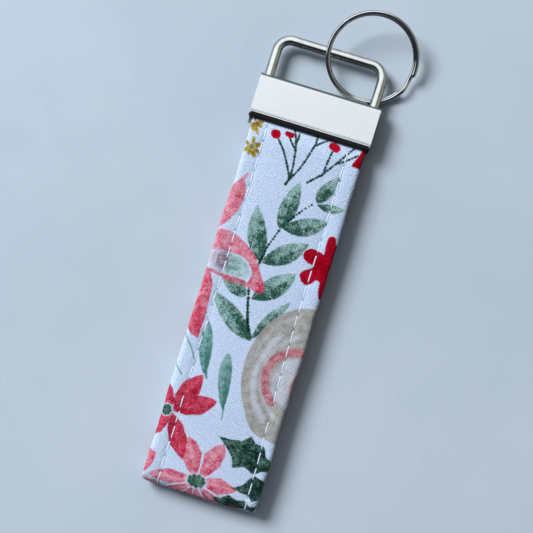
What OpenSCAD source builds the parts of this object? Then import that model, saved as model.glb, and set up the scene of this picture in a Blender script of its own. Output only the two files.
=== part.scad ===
// Wristlet key fob: folded fabric strap, crimped metal clamp, wire bail and split ring.
// Lies flat on its back. X across the strap, +Y from the strap towards the ring, +Z up.
// Y = 0 is a point on the underside of the strap, the clamp mouth is at Y = mouth_y.

/* [Strap] */
// width of the finished strap
strap_w = 30; // [25:0.5:40]
// length of the folded strap from the clamp mouth to the fold
strap_l = 95.7; // [70:0.1:150]
// thickness of one padded panel of the strap
panel_t = 2.3; // [1.5:0.1:4]
// space between the two panels when the loop lies closed
panel_gap = 1.4; // [0.8:0.1:3]
// thickness of the printed cover cloth
cloth_t = 0.4; // [0.3:0.05:1]
// sideways shift of the strap in the clamp
strap_dx = 0.35; // [-1:0.05:1]
// distance from the origin to the clamp mouth along Y
mouth_y = 40; // [20:1:60]
// length over which a panel thins towards the clamp mouth
taper_l = 5; // [3:0.5:10]

/* [Stitching] */
// distance of each stitch row from the strap edge
stitch_in = 3.5; // [2:0.1:6]
// length of one stitch on the surface
stitch_len = 3.1; // [2:0.1:5]
// distance from one stitch to the next
stitch_pitch = 3.95; // [2.5:0.05:6]
// width of the thread
thread_w = 0.42; // [0.2:0.02:0.8]
// height of the thread above the cloth
thread_h = 0.16; // [0.1:0.01:0.3]

/* [Clamp] */
// width of the clamp
clamp_w = 32; // [26:0.5:42]
// height of the clamp from its mouth lip to the spine
clamp_h = 10.4; // [7:0.1:14]
// outside thickness of the crimped clamp
clamp_t = 5; // [4:0.1:7]
// thickness of the clamp's sheet metal
sheet_t = 0.75; // [0.5:0.05:1.2]
// outside radius of the folded spine
spine_r = 1.1; // [0.8:0.1:2]
// how far the jaw liner shows below the metal lip
liner_show = 1.4; // [0.5:0.1:3]
// thickness of the jaw liner inside the jaw
liner_t = 0.5; // [0.3:0.05:0.8]

/* [Bail] */
// wire diameter of the bail
bail_d = 2.5; // [1.5:0.1:3.5]
// outside width of the bail
bail_w = 30.6; // [24:0.1:38]
// height of the bail above the spine
bail_h = 11.7; // [8:0.1:20]
// centre-line radius of the bail's upper corners
bail_r = 3.5; // [2:0.1:6]

/* [Split ring] */
// outside diameter of the split ring
ring_d = 24.2; // [20:0.1:35]
// radial width of the flat ring wire
ring_w = 1.5; // [1:0.1:2.5]
// height of one turn of the ring wire
turn_h = 0.59; // [0.5:0.01:1.5]
// sideways position of the ring's centre
ring_x = 9.9; // [-6:0.1:12]
// height of the ring's centre as it leans over the bail
ring_z = 4.3; // [3:0.1:7]
// lean of the ring
ring_lean = 17.74; // [5:0.1:40]

/* [Hidden] */
e = 0.04;
total_t = 2 * panel_t + panel_gap;
mid_z = total_t / 2;
half_l = strap_l / 2;
core_t = panel_t - 2 * cloth_t;
groove_h = thread_h + 0.03;
in_clamp = 7.1;
stub_t = (clamp_t - 2 * sheet_t - 2 * liner_t - 0.1) / 2;
jaw_z = clamp_t / 2;
lip_y = liner_show;
spine_y = liner_show + clamp_h;
bail_py = spine_y - sheet_t - bail_d / 2 - 0.06;
bail_ty = spine_y + bail_h - bail_d / 2;
bail_lx = bail_w / 2 - bail_d / 2;
ring_y = spine_y + 11.9;

// frame of the clamp mouth, on the strap's mid plane
module at_mouth() { translate([0, mouth_y, mid_z]) children(); }
module strap_x() { translate([strap_dx, 0, 0]) children(); }
// turns a back piece into its front twin
module front_twin() { mirror([0, 0, 1]) children(); }

// bar with full round long edges, from y0 to y1, centred on zc
module round_bar(w, t, y0, y1, zc) {
  translate([-(w - t) / 2, y0, zc - t / 2]) cube([w - t, y1 - y0, t]);
  for (s = [-1, 1])
    translate([s * (w - t) / 2, y0, zc]) rotate([-90, 0, 0])
      cylinder(h = y1 - y0, d = t, $fn = 32);
}

// side view of a near panel, inset by c: thins towards the clamp mouth
module near_side(c, y0, y1, w) {
  low = (mid_z - jaw_z + sheet_t + liner_t) / taper_l;
  high = (panel_gap / 2 - 0.05) / taper_l;
  rotate([90, 0, 90]) translate([0, 0, -w / 2])
    linear_extrude(w)
      polygon([[y0, -mid_z + c + low * (taper_l + y0)],
               [-taper_l, -mid_z + c],
               [y1, -mid_z + c],
               [y1, -panel_gap / 2 - c],
               [-taper_l, -panel_gap / 2 - c],
               [y0, -panel_gap / 2 - c + high * (taper_l + y0)]]);
}

// near panel of the back, from the mouth to the middle of the strap
module cover_near() {
  low = (mid_z - jaw_z + sheet_t + liner_t) / taper_l;
  difference() {
    union() {
      round_bar(strap_w, panel_t, -half_l + e, -e, -mid_z + panel_t / 2);
      // rise of the inner face towards the mouth
      rotate([90, 0, 90]) translate([0, 0, -(strap_w - 3) / 2])
        linear_extrude(strap_w - 3)
          polygon([[-e, -0.05], [-taper_l, -panel_gap / 2], [-taper_l, -panel_gap / 2 - 0.3],
                   [-e, -panel_gap / 2 - 0.3]]);
    }
    // slope of the outer face towards the mouth
    rotate([90, 0, 90]) translate([0, 0, -strap_w])
      linear_extrude(2 * strap_w)
        polygon([[1, -mid_z + low * (taper_l + 1)], [-taper_l - 1, -mid_z - low],
                 [-taper_l - 1, -mid_z - 3], [1, -mid_z - 3]]);
    near_side(cloth_t, 1, -half_l - 1, strap_w - 2 * cloth_t - 1.2);
    stitch_grooves(-half_l - 1, -taper_l - 0.4);
  }
}
// shallow channels that the stitches pull into both faces of a panel
module stitch_grooves(y0, y1) {
  for (s = [-1, 1], z = [-mid_z - 1 + groove_h, -panel_gap / 2 - groove_h])
    translate([s * (strap_w / 2 - stitch_in) - 0.4, y0, z]) cube([0.8, y1 - y0, 1]);
}
module core_near() {
  near_side(cloth_t + 0.02, -e, -half_l + e, strap_w - 2 * cloth_t - 1.24);
}

// far half of the back panel with its quarter of the fold
module quarter_fold(w, r0, r1, rounded) {
  translate([0, -strap_l + mid_z, 0]) rotate([90, 0, 90])
    rotate([0, 0, 180])
      rotate_extrude(angle = 90, $fn = 96) {
        if (rounded) {
          t = r1 - r0;
          translate([r0, -(w - t) / 2]) square([t, w - t]);
          for (s = [-1, 1]) translate([r0 + t / 2, s * (w - t) / 2]) circle(d = t, $fn = 32);
        } else translate([r0, -w / 2]) square([r1 - r0, w]);
      }
}
module below_mid() {
  translate([-50, -strap_l - 5, -10 - e]) cube([100, strap_l, 10]);
}
module cover_far() {
  difference() {
    union() {
      round_bar(strap_w, panel_t, -strap_l + mid_z, -half_l - e, -mid_z + panel_t / 2);
      intersection() {
        quarter_fold(strap_w, panel_gap / 2, mid_z, true);
        below_mid();
      }
    }
    core_far_shape(0);
    stitch_grooves(-strap_l + mid_z + 0.3, -half_l + 1);
  }
}
module core_far_shape(c) {
  translate([-(strap_w - 2 * cloth_t - 1.2) / 2 + c, -strap_l + mid_z,
             -mid_z + cloth_t + c])
    cube([strap_w - 2 * cloth_t - 1.2 - 2 * c, strap_l - mid_z - half_l + 1, core_t - 2 * c]);
  quarter_fold(strap_w - 2 * cloth_t - 1.2 - 2 * c, panel_gap / 2 + cloth_t + c,
               mid_z - cloth_t - c, false);
}
module core_far() {
  difference() {
    core_far_shape(0.02);
    translate([-50, -half_l - e, -20]) cube([100, 20, 40]);
    translate([-50, -strap_l - 5, -2 * e]) cube([100, 20, 20]);
  }
}

// one row of surface stitches on both faces of the back panel
module stitch_row(side, y0, n) {
  x = side * (strap_w / 2 - stitch_in);
  for (i = [0:n - 1]) {
    y = y0 - i * stitch_pitch;
    translate([x, y - stitch_len, -mid_z + groove_h - thread_h]) one_stitch();
    translate([x, y - stitch_len, -panel_gap / 2 - groove_h]) one_stitch();
  }
}
module one_stitch() {
  translate([-thread_w / 2, thread_w / 2, 0]) cube([thread_w, stitch_len - thread_w, thread_h]);
  for (y = [thread_w / 2, stitch_len - thread_w / 2])
    translate([0, y, 0]) cylinder(h = thread_h, d = thread_w, $fn = 16);
}

// end of a panel pinched between the jaws
module end_cover() {
  difference() {
    translate([-strap_w / 2 + 0.2, e, -stub_t - 0.03]) cube([strap_w - 0.4, in_clamp, stub_t - 0.02]);
    translate([-strap_w / 2 + 0.9, -1, -stub_t + 0.27]) cube([strap_w - 1.8, in_clamp + 3, stub_t - 0.62]);
  }
}
module end_core() {
  translate([-strap_w / 2 + 0.92, e, -stub_t + 0.29]) cube([strap_w - 1.84, in_clamp - 0.3, stub_t - 0.66]);
}

module end_cover_back() { color("#efeeec") at_mouth() strap_x() end_cover(); }
module end_core_back() { color("#d8d6d0") at_mouth() strap_x() end_core(); }
module end_cover_front() { color("#efeeec") at_mouth() strap_x() front_twin() end_cover(); }
module end_core_front() { color("#d8d6d0") at_mouth() strap_x() front_twin() end_core(); }

module cover_back_near() { color("#f3f3f4") at_mouth() strap_x() cover_near(); }
module core_back_near() { color("#d8d6d0") at_mouth() strap_x() core_near(); }
module cover_front_near() { color("#f3f3f4") at_mouth() strap_x() front_twin() cover_near(); }
module core_front_near() { color("#d8d6d0") at_mouth() strap_x() front_twin() core_near(); }
module cover_back_far() { color("#f3f3f4") at_mouth() strap_x() cover_far(); }
module core_back_far() { color("#d8d6d0") at_mouth() strap_x() core_far(); }
module cover_front_far() { color("#f3f3f4") at_mouth() strap_x() front_twin() cover_far(); }
module core_front_far() { color("#d8d6d0") at_mouth() strap_x() front_twin() core_far(); }

module stitch_left_back_near() {
  color("#ffffff") at_mouth() strap_x() stitch_row(-1, -taper_l - 0.7, 10);
}
module stitch_right_back_near() {
  color("#ffffff") at_mouth() strap_x() stitch_row(1, -taper_l - 1.4, 10);
}
module stitch_left_front_near() {
  color("#ffffff") at_mouth() strap_x() front_twin() stitch_row(-1, -taper_l - 0.7, 10);
}
module stitch_right_front_near() {
  color("#ffffff") at_mouth() strap_x() front_twin() stitch_row(1, -taper_l - 1.4, 10);
}
module stitch_left_back_far() {
  color("#ffffff") at_mouth() strap_x() stitch_row(-1, -half_l - 0.7, 11);
}
module stitch_right_back_far() {
  color("#ffffff") at_mouth() strap_x() stitch_row(1, -half_l - 1.2, 11);
}
module stitch_left_front_far() {
  color("#ffffff") at_mouth() strap_x() front_twin() stitch_row(-1, -half_l - 0.7, 11);
}
module stitch_right_front_far() {
  color("#ffffff") at_mouth() strap_x() front_twin() stitch_row(1, -half_l - 1.2, 11);
}

// folded sheet: two jaws and the spine, with a slot at each end for the bail's legs
module clamp_shell() {
  color("#c9c9c6") at_mouth() difference() {
    union() {
      difference() {
        union() {
          translate([-clamp_w / 2, lip_y, -jaw_z]) cube([clamp_w, clamp_h - spine_r, clamp_t]);
          translate([-clamp_w / 2, lip_y, -jaw_z + spine_r])
            cube([clamp_w, clamp_h, clamp_t - 2 * spine_r]);
          for (s = [-1, 1])
            translate([-clamp_w / 2, spine_y - spine_r, s * (jaw_z - spine_r)])
              rotate([0, 90, 0]) cylinder(h = clamp_w, r = spine_r, $fn = 48);
        }
        // inside of the fold
        translate([-clamp_w, lip_y - 1, -jaw_z + sheet_t])
          cube([2 * clamp_w, clamp_h - sheet_t + 1, clamp_t - 2 * sheet_t]);
      }
      // rolled lip along each jaw
      for (s = [-1, 1])
        translate([-clamp_w / 2, lip_y + 0.45, s * (jaw_z - 0.36)]) rotate([0, 90, 0])
          cylinder(h = clamp_w, r = 0.42, $fn = 24);
      // bent corner of the back jaw beside the strap
      translate([-clamp_w / 2 + 0.1, -1.1, -jaw_z + 0.25]) cube([0.8, 1.1 + lip_y + 0.5, 0.55]);
    }
    for (s = [-1, 1])
      translate([s * bail_lx - (bail_d + 0.3) / 2, bail_py, -jaw_z + 0.42])
        cube([bail_d + 0.3, 10, clamp_t - 0.84]);
  }
}

// strip that lines a jaw and shows as a dark band below its lip
module liner() {
  translate([-clamp_w / 2 + 0.2, lip_y, -jaw_z + sheet_t + 0.02])
    cube([clamp_w - 0.4, in_clamp - lip_y, liner_t - 0.04]);
  translate([-clamp_w / 2 + 0.45, 0.1, -jaw_z + sheet_t + 0.02])
    cube([clamp_w - 0.9, lip_y, liner_t - 0.04]);
  translate([-clamp_w / 2 + 0.45, 0.6, -jaw_z + 0.6]) rotate([0, 90, 0])
    cylinder(h = clamp_w - 0.9, r = 0.52, $fn = 32);
  for (s = [-1, 1])
    translate([s * (clamp_w / 2 - 0.45), 0.6, -jaw_z + 0.6]) sphere(r = 0.52, $fn = 24);
  translate([-clamp_w / 2 + 0.45, 0.6, -jaw_z + 0.12])
    cube([clamp_w - 0.9, lip_y - 0.6 - 0.04, 0.9]);
}
module jaw_liner_back() {
  color("#151517") at_mouth() difference() {
    liner();
    translate([-clamp_w / 2, -2, -jaw_z]) cube([1, 4, 0.85]);
  }
}
module jaw_liner_front() { color("#151517") at_mouth() front_twin() liner(); }

// closed wire loop whose lower bar turns inside the clamp's spine
module wire_bail() {
  color("#b9b6ad") at_mouth() {
    for (s = [-1, 1]) {
      translate([s * bail_lx, bail_py, 0]) rotate([-90, 0, 0])
        cylinder(h = bail_ty - bail_r - bail_py, d = bail_d, $fn = 48);
      translate([s * (bail_lx - bail_r), bail_ty - bail_r, 0])
        rotate([0, 0, s > 0 ? 0 : 90]) rotate_extrude(angle = 90, $fn = 96)
          translate([bail_r, 0]) circle(d = bail_d, $fn = 48);
      translate([s * bail_lx, bail_py, 0]) sphere(d = bail_d, $fn = 48);
    }
    for (y = [bail_ty]) translate([-bail_lx + bail_r, y, 0]) rotate([0, 90, 0])
      cylinder(h = 2 * (bail_lx - bail_r), d = bail_d, $fn = 48);
    translate([-bail_lx, bail_py, 0]) rotate([0, 90, 0])
      cylinder(h = 2 * bail_lx, d = bail_d, $fn = 48);
  }
}

// section of the ring's wire: flat with broken corners
module flat_wire(w, h) {
  k = 0.13;
  polygon([[k, 0], [w - k, 0], [w, k], [w, h - k], [w - k, h], [k, h], [0, h - k], [0, k]]);
}
// two turns of flat wire joined by one step
module turn(a0, a1, z, h, c) {
  rotate([0, 0, a0]) rotate_extrude(angle = a1 - a0, $fn = 144)
    translate([ring_d / 2 - ring_w + c, z]) flat_wire(ring_w - 2 * c, h);
}
module split_ring() {
  color("#bdbab2") translate([0, mouth_y, 0]) translate([ring_x, ring_y, ring_z])
    rotate(a = -ring_lean, v = [-0.9135, -0.4067, 0])
      rotate([0, 0, -22]) {
        turn(-1, 15, -turn_h, 2 * turn_h, 0.04);
        turn(7, 350, -turn_h - 0.03, turn_h, 0);
        turn(24, 367, 0.03, turn_h, 0);
      }
}

clamp_shell();
jaw_liner_front();
jaw_liner_back();
wire_bail();
split_ring();
end_cover_back();
end_core_back();
end_cover_front();
end_core_front();
cover_back_near();
core_back_near();
stitch_left_back_near();
stitch_right_back_near();
cover_back_far();
core_back_far();
stitch_left_back_far();
stitch_right_back_far();
cover_front_far();
core_front_far();
stitch_left_front_far();
stitch_right_front_far();
cover_front_near();
core_front_near();
stitch_left_front_near();
stitch_right_front_near();
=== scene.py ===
"""Looks of the wristlet key fob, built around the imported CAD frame.

Lengths below are millimetres unless a name says otherwise; meshes are scaled to metres
when they are made. The strap is one loop of cloth: it is described once, along its whole
length, and then cut into pieces whose ends lie in the middle of a rigid panel, so that
each piece crosses at most one joint.
"""

import math

import bpy
import numpy as np
from mathutils import Matrix, Vector


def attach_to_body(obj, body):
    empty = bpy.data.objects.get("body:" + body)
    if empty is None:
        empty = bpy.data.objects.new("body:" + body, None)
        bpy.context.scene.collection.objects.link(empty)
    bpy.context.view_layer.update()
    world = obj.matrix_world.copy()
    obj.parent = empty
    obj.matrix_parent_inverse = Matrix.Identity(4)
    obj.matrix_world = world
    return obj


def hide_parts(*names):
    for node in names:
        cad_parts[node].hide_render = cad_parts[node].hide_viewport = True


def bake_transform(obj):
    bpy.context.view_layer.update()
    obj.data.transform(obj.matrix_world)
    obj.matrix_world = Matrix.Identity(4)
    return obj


MM = 0.001

# -------- strap dimensions
STRAP_W = 30.0
STRAP_L = 95.7
STRAP_DX = 0.35
PANEL_T = 2.3
PANEL_GAP = 1.4
MOUTH_Y = 40.0
MID_Z = 3.0
PINCHED_T = 1.12
PINCHED_MID = 0.64
PINCHED_L = 6.9
PUFF_L = 4.8  # length over which the cloth swells out of the clamp
CLOTH_T = 0.4
CORE_GAP = 0.02  # between the core's faces and the cloth
CORE_INSET = 1.35  # from the strap's edge to the core's
ROW_STEP = 0.3  # mesh spacing along the strap
FOLD_ROW_STEP = 0.2  # the same round the fold
COLUMN_STEP = 0.3  # mesh spacing across its outer face
INNER_STEP = 0.6
EDGE_SAMPLES = 11
FOLD_R = PANEL_GAP / 2 + PANEL_T / 2
STRAIGHT_L = STRAP_L - PANEL_GAP / 2 - PANEL_T
ARC_L = math.pi * FOLD_R
LOOP_L = 2 * STRAIGHT_L + ARC_L
OUTER_ARC_L = math.pi * (FOLD_R + PANEL_T / 2)

# -------- stitching
PITCH = 3.95
STITCH_L = 3.6
THREAD_R = 0.15
ROW_LEFT = 4.3
ROW_RIGHT_TOP = 25.7
ROW_RIGHT_DRIFT = 0.034  # past its middle the right row runs slightly outward
ROW_DRIFT_FROM = 50.0
FIRST_STITCH = 1.3

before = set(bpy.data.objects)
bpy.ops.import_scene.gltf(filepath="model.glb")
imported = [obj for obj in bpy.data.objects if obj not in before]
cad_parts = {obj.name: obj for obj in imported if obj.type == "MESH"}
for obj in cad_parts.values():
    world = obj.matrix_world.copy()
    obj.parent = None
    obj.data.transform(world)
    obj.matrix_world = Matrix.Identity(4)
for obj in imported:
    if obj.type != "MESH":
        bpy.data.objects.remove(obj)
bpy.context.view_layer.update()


# ======== small helpers
def smooth(t):
    t = np.clip(t, 0.0, 1.0)
    return t * t * (3 - 2 * t)


def ripple(a, b, seed, base):
    """Smooth, repeatable unevenness of about -1 to 1 over two coordinates in mm; base is
    the size of its swells."""
    rng = np.random.default_rng(seed)
    total = np.zeros(np.broadcast(a, b).shape)
    for _ in range(9):
        ka, kb = rng.normal(0, 1 / base, 2)
        total = total + np.sin(2 * math.pi * (ka * a + kb * b) + rng.uniform(0, 6.28))
    return total / 4.5


def new_object(name, verts_mm, faces, material, attributes=None):
    mesh = bpy.data.meshes.new(name)
    mesh.from_pydata((np.asarray(verts_mm) * MM).tolist(), [], faces)
    mesh.update()
    for key, values in (attributes or {}).items():
        if values.ndim == 1:
            layer = mesh.attributes.new(key, "FLOAT", "POINT")
            layer.data.foreach_set("value", values.astype(np.float32))
        else:
            layer = mesh.attributes.new(key, "FLOAT_VECTOR", "POINT")
            layer.data.foreach_set("vector", values.astype(np.float32).ravel())
    mesh.polygons.foreach_set("use_smooth", [True] * len(mesh.polygons))
    obj = bpy.data.objects.new(name, mesh)
    bpy.context.scene.collection.objects.link(obj)
    obj.data.materials.append(material)
    return obj


# ======== shape of the strap
def path(s):
    """Centre line of the cloth layer at arc length s from the front mouth: (y, z, outward
    normal y, outward normal z, thickness, distance from the nearer mouth)."""
    s = np.asarray(s, float)
    front = s <= STRAIGHT_L
    back = s >= STRAIGHT_L + ARC_L
    arc = ~front & ~back
    v = np.where(front, s, LOOP_L - s)
    swell = 1 - (1 - np.clip(v / PUFF_L, 0, 1)) ** 2
    thick = PINCHED_T + (PANEL_T - PINCHED_T) * swell
    mid = PINCHED_MID + (FOLD_R - PINCHED_MID) * swell
    side = np.where(front, 1.0, -1.0)
    y, z = -v, side * mid
    ny, nz = np.zeros_like(s), side
    angle = np.where(arc, (s - STRAIGHT_L) / FOLD_R, 0.0)
    y = np.where(arc, -STRAIGHT_L - FOLD_R * np.sin(angle), y)
    z = np.where(arc, FOLD_R * np.cos(angle), z)
    ny = np.where(arc, -np.sin(angle), ny)
    nz = np.where(arc, np.cos(angle), nz)
    return y + MOUTH_Y, z + MID_Z, ny, nz, thick, v


def cloth_v(s):
    """Length along the outer face of the cloth, which is longer than s round the fold."""
    s = np.asarray(s, float)
    round_fold = np.clip(s - STRAIGHT_L, 0, ARC_L) * (OUTER_ARC_L / ARC_L - 1)
    return s + round_fold


def row_u(side, v):
    past = np.clip(v, ROW_DRIFT_FROM, STRAP_L) - ROW_DRIFT_FROM
    return np.where(side < 0, ROW_LEFT + 0 * past, ROW_RIGHT_TOP + ROW_RIGHT_DRIFT * past)


def needle_marks(u, v):
    """0 to 1 where the needle has left a hole; the cloth is given painted shade there."""
    d = np.minimum(np.abs(u - row_u(-1, v)), np.abs(u - row_u(1, v)))
    along = np.abs(np.mod(v - FIRST_STITCH + PITCH / 2, PITCH) - PITCH / 2)
    return np.exp(-((d / 0.26) ** 2) - (along / 0.34) ** 2)


def relief(u, s, outer):
    """How far the cloth stands off its plain panel: quilted swell, stitch channel, needle
    holes, puckers and soft wrinkles."""
    v = cloth_v(s)
    left, right = row_u(-1, v), row_u(1, v)
    d = np.minimum(np.abs(u - left), np.abs(u - right))
    across = np.clip(2 * (u - left) / (right - left) - 1, -1, 1)
    swell = 0.24 * (1 - np.abs(across) ** 3)
    edge = np.where(u < left, u / left, np.where(u > right, (STRAP_W - u) / (STRAP_W - right), 0))
    swell = swell + 0.10 * np.sin(math.pi * np.clip(edge, 0, 1))
    phase = 2 * math.pi * (v - FIRST_STITCH) / PITCH
    channel = -0.10 * np.exp(-((d / 0.55) ** 2))
    holes = -0.11 * np.exp(-((d / 0.4) ** 2)) * (0.5 + 0.5 * np.cos(phase)) ** 7
    pucker = -0.05 * np.cos(phase) * np.exp(-((d / 2.0) ** 2)) * (1 - np.exp(-((d / 0.5) ** 2)))
    wrinkle = 0.09 * ripple(u * 0.9, v * 0.6, 11 if outer else 12, 22.0)
    wrinkle = wrinkle + 0.03 * ripple(u, v, 13 if outer else 14, 6.0)
    fade = np.clip(np.minimum(u, STRAP_W - u) / 1.4, 0, 1)
    mouth = smooth((np.asarray(path(s)[5]) - 0.2) / 3.0)
    arc = (s > STRAIGHT_L) & (s < STRAIGHT_L + ARC_L)
    inner_fold = np.where(arc & (not outer), 0.3, 1.0)
    return (swell * fade + channel + holes + (pucker + wrinkle) * fade) * mouth * inner_fold


def edge_wave(s, side):
    """Slight unevenness of the strap's width along each side."""
    v = cloth_v(s)
    return 0.14 * ripple(v, 0 * v, 21 if side > 0 else 22, 26.0) + 0.05 * ripple(
        v, 0 * v, 23 if side > 0 else 24, 5.0)


def face_point(x, s, outer, lift=0.0):
    """A point on the outer or inner face; x runs across from -W/2 to W/2."""
    y, z, ny, nz, thick, _ = path(s)
    sign = 1.0 if outer else -1.0
    off = sign * (thick / 2 + relief(x + STRAP_W / 2, s, outer) + lift)
    share = np.clip(x / (STRAP_W / 2), -1, 1)
    shift = np.where(share > 0, edge_wave(s, 1), -edge_wave(s, -1)) * np.abs(share) ** 4
    return np.stack([x + STRAP_DX + shift, y + ny * off, z + nz * off], -1)


def edge_point(angle, s, side):
    """A point on the rounded long edge; the angle runs from the outer to the inner face.
    The right edge is the one where the cloth's two folds meet, so it has a shallow seam."""
    y, z, ny, nz, thick, _ = path(s)
    r = thick / 2
    seam = 0.22 * np.exp(-((angle / 0.16) ** 2)) if side > 0 else 0.0
    out = (r - seam) * np.cos(angle) ** 0.85
    x = side * (STRAP_W / 2 - r + out) + side * edge_wave(s, side)
    off = r * np.sin(angle)
    return np.stack([x + STRAP_DX + 0 * off, y + ny * off, z + nz * off], -1)


def section_columns():
    """The columns of one closed cross-section: (kind, place, u on the print)."""
    reach = STRAP_W / 2 - PANEL_T / 2
    outer = np.linspace(-reach, reach, int(2 * reach / COLUMN_STEP) + 1)
    inner = np.linspace(reach, -reach, int(2 * reach / INNER_STEP) + 1)
    angles = np.linspace(math.pi / 2, -math.pi / 2, EDGE_SAMPLES + 2)[1:-1]
    r = PANEL_T / 2
    columns = [("outer", x, x + STRAP_W / 2) for x in outer]
    columns += [("right", a, STRAP_W - r + r * (math.pi / 2 - a)) for a in angles]
    columns += [("inner", x, STRAP_W / 2 - x) for x in inner]
    columns += [("left", a, r - r * (math.pi / 2 - a)) for a in angles[::-1]]
    return columns


def cover_grid(s):
    """Vertices of the cover at arc lengths s: (rows, columns, 3), with print places."""
    columns = section_columns()
    points, u_print, inside = [], [], []
    _, _, _, _, thick, _ = path(s)
    for kind, place, u in columns:
        if kind in ("outer", "inner"):
            # keep the faces ending where the rounded edge starts, also where it is thin
            reach = STRAP_W / 2 - thick / 2
            x = place * reach / (STRAP_W / 2 - PANEL_T / 2)
            points.append(face_point(x, s, kind == "outer"))
        else:
            points.append(edge_point(place + 0 * s, s, 1 if kind == "right" else -1))
        u_print.append(u + 0 * s)
        inside.append((1.0 if kind == "inner" else 0.0) + 0 * s)
    return np.stack(points, 1), np.stack(u_print, 1), np.stack(inside, 1)


def tube_faces(rows, cols):
    faces = []
    for i in range(rows - 1):
        for j in range(cols):
            k = (j + 1) % cols
            faces.append((i * cols + j, (i + 1) * cols + j, (i + 1) * cols + k, i * cols + k))
    return faces


def capped_faces(grid):
    """Faces of a closed tube, whose two ends are capped."""
    rows, cols = grid.shape[:2]
    ends = [tuple(range(cols)), tuple(reversed(range((rows - 1) * cols, rows * cols)))]
    return tube_faces(rows, cols) + ends


# ======== the print
# Each motif adds to signed distance fields in mm, positive inside, one field per ink.
# Places are (u, v): u across from the strap's left edge, v along it from the clamp.
INKS = ("leaf", "sage", "stem", "aqua", "salmon", "umber", "taupe", "cream", "rose", "holly",
        "red", "crimson", "blush", "mustard", "heart")
FAR = -4.0
UNSET = 0.5  # tone of a place that no motif has set
DAB_L = 0.86


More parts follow.
